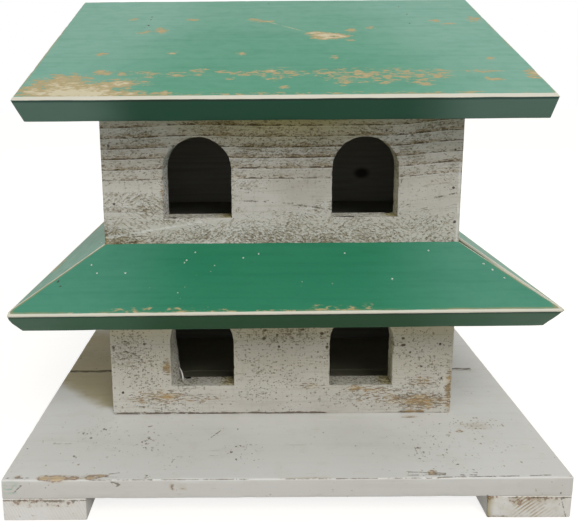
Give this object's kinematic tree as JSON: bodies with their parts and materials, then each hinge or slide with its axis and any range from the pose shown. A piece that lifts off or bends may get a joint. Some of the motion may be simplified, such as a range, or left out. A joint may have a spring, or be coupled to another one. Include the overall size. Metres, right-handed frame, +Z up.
{
  "type": "purple martin birdhouse",
  "caption": "Wooden birdhouse in stacked storeys with arched entrance holes, a hipped skirt roof, a gable roof and a plank platform on runners.",
  "frame": {"origin": "middle of the footprint, on the ground under the runners", "axes": "+X to the right along the front, +Y from the front to the back along the runners, +Z up"},
  "size_m": [0.517, 0.554, 0.4959],
  "materials": {
    "runner_paint": "worn white paint on rough wood",
    "platform_paint": "worn white paint, smooth",
    "lower_wall_paint": "worn white paint on rough-sawn wood",
    "bare_wood": "bare wood, dusty",
    "skirt_paint": "satin green paint, worn at the edges",
    "upper_wall_paint": "worn white paint on rough-sawn wood",
    "roof_paint": "satin green paint, worn in patches"
  },
  "bodies": {
    "root": {"runner_left": "runner_paint", "runner_right": "runner_paint", "platform_front_plank": "platform_paint", "platform_middle_plank": "platform_paint", "platform_back_plank": "platform_paint", "lower_front_wall": "lower_wall_paint", "lower_back_wall": "lower_wall_paint", "lower_left_wall": "lower_wall_paint", "lower_right_wall": "lower_wall_paint", "lower_cross_partition": "bare_wood", "lower_front_partition": "bare_wood", "lower_back_partition": "bare_wood", "upper_floor": "bare_wood", "skirt_front": "skirt_paint", "skirt_back": "skirt_paint", "skirt_left": "skirt_paint", "skirt_right": "skirt_paint", "upper_front_wall": "upper_wall_paint", "upper_back_wall": "upper_wall_paint", "upper_left_wall": "upper_wall_paint", "upper_right_wall": "upper_wall_paint", "left_gable": "upper_wall_paint", "right_gable": "upper_wall_paint", "upper_cross_partition": "bare_wood", "upper_front_partition": "bare_wood", "upper_back_partition": "bare_wood", "roof_front": "roof_paint", "roof_back": "roof_paint"}
  },
  "joints": []
}
